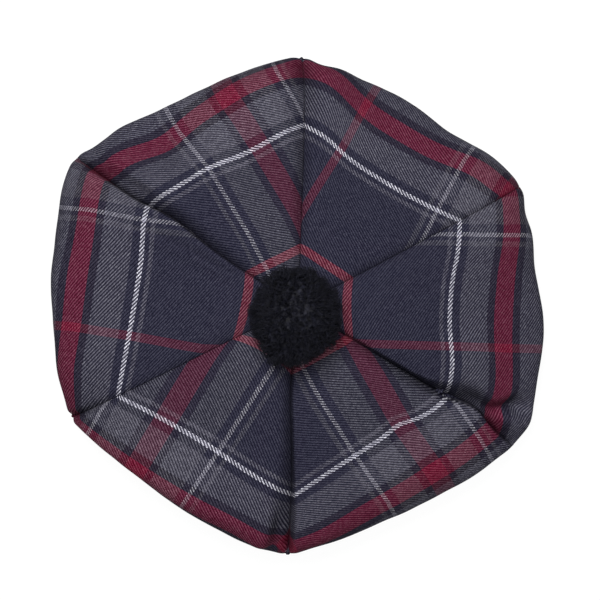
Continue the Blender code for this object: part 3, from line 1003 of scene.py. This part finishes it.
class TAM_OT_headband(bpy.types.Operator):
    """Make the folded headband"""

    bl_idname = "tam.headband"
    bl_label = "Headband"

    def execute(self, context):
        cloth, band = context.scene.tam_cloth, context.scene.tam_band
        outside = BAND_HIGH.x
        half = band.thickness / 2
        top = BAND_HIGH.z + context.scene.tam_crown.allowance
        upwards = [lerp(half, top, step / BAND_ROWS) for step in range(1, BAND_ROWS + 1)]
        inner = [(outside - 2 * half, height) for height in reversed(upwards)]
        fold = [
            (outside - half - half * math.cos(turn), half - half * math.sin(turn))
            for turn in np.linspace(0, math.pi, FOLD_ROWS + 1)
        ]
        outer = [(outside, height) for height in upwards]
        profile = np.array(inner + fold + outer)
        angles = np.linspace(math.pi / 2 + math.tau, math.pi / 2, band.segments + 1)
        radius, height = profile[:, :1], np.repeat(profile[:, 1:], len(angles), axis=1)
        grid = np.stack((radius * np.cos(angles), radius * np.sin(angles), height), axis=-1)
        along = lengths_along(grid, 0)
        along += band.ground - along[BAND_ROWS + FOLD_ROWS // 2]
        aside = np.repeat(angles[None] * outside, len(profile), axis=0)
        sheet = add_sheet(context, "head_band", grid, np.stack((aside, along), axis=-1))
        give_wall(context, sheet, cloth.thickness)
        dress(sheet, bpy.data.materials["tartan_twill"], "band", "headband")
        return {"FINISHED"}


class TAM_OT_pompom(bpy.types.Operator):
    """Make the wool pompom"""

    bl_idname = "tam.pompom"
    bl_label = "Pompom"

    def execute(self, context):
        pompom = context.scene.tam_pompom
        wool = wool_material(pompom)
        centre = np.array(POMPOM_CENTRE) * MM
        radii = np.array(POMPOM_RADII) * MM
        bpy.ops.object.select_all(action="DESELECT")
        bpy.ops.mesh.primitive_ico_sphere_add(subdivisions=6, radius=1)
        core = context.active_object
        core.name = core.data.name = "pompom_core"
        outward = unit(points_of(core.data))
        lumps = noise_at(outward * radii, LUMP_WIDTH * MM, LUMP_PLACE)
        depth = radii * CORE_SHARE + LUMP_HEIGHT * MM * lumps[:, None]
        core.data.vertices.foreach_set("co", (centre + outward * depth).ravel())
        core.data.update()
        bpy.ops.object.shade_smooth()
        dress(core, wool, "wool", "pompom")
        self.add_pile(context, pompom, wool, centre, radii)
        return {"FINISHED"}

    def add_pile(self, context, pompom, wool, centre, radii):
        """Adds the tufts of wool ends round the core."""
        rng = np.random.default_rng(5)
        index = np.arange(pompom.tufts) + 0.5
        slope = np.arccos(1 - 2 * index / pompom.tufts)
        turn = math.pi * (1 + math.sqrt(5)) * index
        tufts = np.stack(
            (np.cos(turn) * np.sin(slope), np.sin(turn) * np.sin(slope), np.cos(slope)), axis=-1
        )
        tufts = np.repeat(tufts, pompom.strands, axis=0)
        reach = np.repeat(rng.uniform(*TUFT_REACH, (pompom.tufts, 1)), pompom.strands, axis=0)
        droop = rng.normal(0, TUFT_DROOP, (pompom.tufts, 3))
        droop = np.repeat(droop, pompom.strands, axis=0)
        count = len(tufts)
        root = unit(tufts + rng.normal(0, ROOT_SPREAD, tufts.shape))
        spread = (root - tufts) * SPREAD_KEPT + rng.normal(0, TIP_SPREAD, tufts.shape)
        tip = unit(tufts + droop + spread)
        lean = rng.normal(0, 1, tufts.shape)
        lean = unit(lean - tip * (lean * tip).sum(1, keepdims=True))
        sideways = np.cross(tip, lean)
        reaches = pompom.strand_length * rng.uniform(*END_LENGTHS, (count, 1))
        curl = rng.uniform(*END_CURLS, (count, 1)) * reaches
        phase = rng.uniform(0, math.tau, (count, 1))
        swell = noise_at(tufts * radii, SWELL_WIDTH * MM, SWELL_PLACE)[:, None] * SWELL
        verts = np.empty((count, RINGS, SIDES, 3))
        for ring in range(RINGS):
            share = ring / (RINGS - 1)
            spin = phase + share * CURL_TURN
            path = unit(lerp(root, tip, share**LATE_LEAN))
            path = path * radii * (reach + swell) - path * reaches * (1 - share)
            bent = (lean * np.cos(spin) + sideways * np.sin(spin)) * curl * math.sqrt(share)
            radius = pompom.strand_radius * (1 - THINNER * share**2)
            for side in range(SIDES):
                angle = side * math.tau / SIDES
                edge = (lean * math.cos(angle) + sideways * math.sin(angle)) * radius
                verts[:, ring, side] = centre + path + bent + edge
        base = (np.arange(count) * RINGS * SIDES)[:, None]
        faces = []
        for ring in range(RINGS - 1):
            for side in range(SIDES):
                a = ring * SIDES + side
                b = ring * SIDES + (side + 1) % SIDES
                faces.append(base + np.array((a, b, b + SIDES, a + SIDES)))
        quads = np.concatenate(faces)
        caps = base + (RINGS - 1) * SIDES + np.arange(SIDES)
        mesh = bpy.data.meshes.new("pompom_pile")
        mesh.from_pydata(verts.reshape(-1, 3).tolist(), [], quads.tolist() + caps.tolist())
        mesh.shade_smooth()
        pile = bpy.data.objects.new("pompom_pile", mesh)
        context.collection.objects.link(pile)
        dress(pile, wool, "wool")


class TAM_OT_stage(bpy.types.Operator):
    """Make the floor, the lights and the camera"""

    bl_idname = "tam.stage"
    bl_label = "Stage"

    def execute(self, context):
        stage = context.scene.tam_stage
        bpy.ops.object.select_all(action="DESELECT")
        bpy.ops.mesh.primitive_plane_add(size=FLOOR_SIZE)
        floor = context.active_object
        floor.name = "floor"
        floor.data.materials.append(floor_material(stage))
        self.add_light(context, "key", KEY_PLACE, KEY_SIZE, stage.key_power)
        self.add_light(context, "fill", FILL_PLACE, FILL_SIZE, stage.fill_power)
        world = bpy.data.worlds.new("soft_sky")
        world.use_nodes = True
        background = world.node_tree.nodes["Background"]
        background.inputs["Color"].default_value = (1, 1, 1, 1)
        background.inputs["Strength"].default_value = stage.sky
        context.scene.world = world
        context.scene.view_settings.view_transform = "Standard"
        place = (*stage.view_centre, CAMERA_HEIGHT)
        bpy.ops.object.camera_add(location=place, rotation=(0, 0, 0))
        camera = context.active_object
        camera.name = "camera"
        camera.data.type = "ORTHO"
        camera.data.ortho_scale = stage.view_width
        context.scene.camera = camera
        return {"FINISHED"}

    def add_light(self, context, name, place, size, power):
        """Adds a square light that shines on the cap."""
        aim = (Vector(LIGHTS_AIM) - Vector(place)).to_track_quat("-Z", "Y")
        bpy.ops.object.light_add(type="AREA", location=place, rotation=aim.to_euler())
        light = context.active_object
        light.name = name
        light.data.size = size
        light.data.energy = power


class TAM_PT_panel(bpy.types.Panel):
    """Lists the steps that make the cap"""

    bl_label = "Tam o' shanter"
    bl_idname = "TAM_PT_panel"
    bl_space_type = "VIEW_3D"
    bl_region_type = "UI"
    bl_category = "Tam o' shanter"

    def draw(self, context):
        for operator in OPERATORS:
            self.layout.operator(operator.bl_idname)
        for name, group in SETTINGS.items():
            box = self.layout.box()
            for field in group.__annotations__:
                box.prop(getattr(context.scene, name), field)


SETTINGS = {
    "tam_cloth": TamCloth,
    "tam_crown": TamCrown,
    "tam_band": TamBand,
    "tam_pompom": TamPompom,
    "tam_stage": TamStage,
}
OPERATORS = (TAM_OT_stage, TAM_OT_gores, TAM_OT_headband, TAM_OT_pompom)
CLASSES = (*SETTINGS.values(), *OPERATORS, TAM_PT_panel)


def register():
    """Adds the classes to Blender, and the settings to its scenes."""
    for cls in CLASSES:
        bpy.utils.register_class(cls)
    for name, group in SETTINGS.items():
        setattr(bpy.types.Scene, name, PointerProperty(type=group))


def unregister():
    """Takes the settings and the classes out again."""
    for name in SETTINGS:
        delattr(bpy.types.Scene, name)
    for cls in reversed(CLASSES):
        bpy.utils.unregister_class(cls)


def main():
    """Makes the stage and the cap."""
    register()
    bpy.ops.tam.stage()
    bpy.ops.tam.gores()
    bpy.ops.tam.headband()
    bpy.ops.tam.pompom()


if __name__ == "__main__":
    main()
